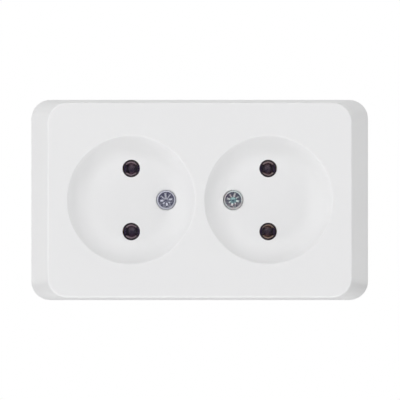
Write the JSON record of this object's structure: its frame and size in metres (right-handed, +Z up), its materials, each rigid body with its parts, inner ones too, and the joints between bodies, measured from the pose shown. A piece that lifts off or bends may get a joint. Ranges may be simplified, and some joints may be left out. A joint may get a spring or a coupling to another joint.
{
  "type": "double surface-mounted socket",
  "caption": "White surface-mounted mains socket with paired round wells, pin holes without earth contacts and a screwed one-piece cover.",
  "frame": {"origin": "centre of the flat back of the base, on the wall", "axes": "+Z up the wall, +X to the right as seen from the front, +Y into the wall, so the front faces -Y"},
  "size_m": [0.103, 0.035, 0.0612],
  "materials": {
    "cover_white": "smooth white moulded plastic with a soft gloss",
    "base_white": "matt white moulded plastic",
    "bar_brass": "rolled brass strip",
    "clip_bronze": "copper-brown spring bronze",
    "spring_steel": "bare spring steel",
    "plated_steel": "bright zinc plating"
  },
  "bodies": {
    "root": {"cover": "cover_white", "base": "base_white", "line_bus_bar": "bar_brass", "neutral_bus_bar": "bar_brass", "contact_clip_left_upper": "clip_bronze", "contact_spring_left_upper": "spring_steel", "terminal_clamp_left_upper": "plated_steel", "contact_clip_left_lower": "clip_bronze", "contact_spring_left_lower": "spring_steel", "terminal_clamp_left_lower": "plated_steel", "contact_clip_right_upper": "clip_bronze", "contact_spring_right_upper": "spring_steel", "terminal_clamp_right_upper": "plated_steel", "contact_clip_right_lower": "clip_bronze", "contact_spring_right_lower": "spring_steel", "terminal_clamp_right_lower": "plated_steel", "contact_rivets": "plated_steel", "terminal_screws": "plated_steel", "cover_screws": "plated_steel", "screw_inserts": "bar_brass"}
  },
  "joints": []
}
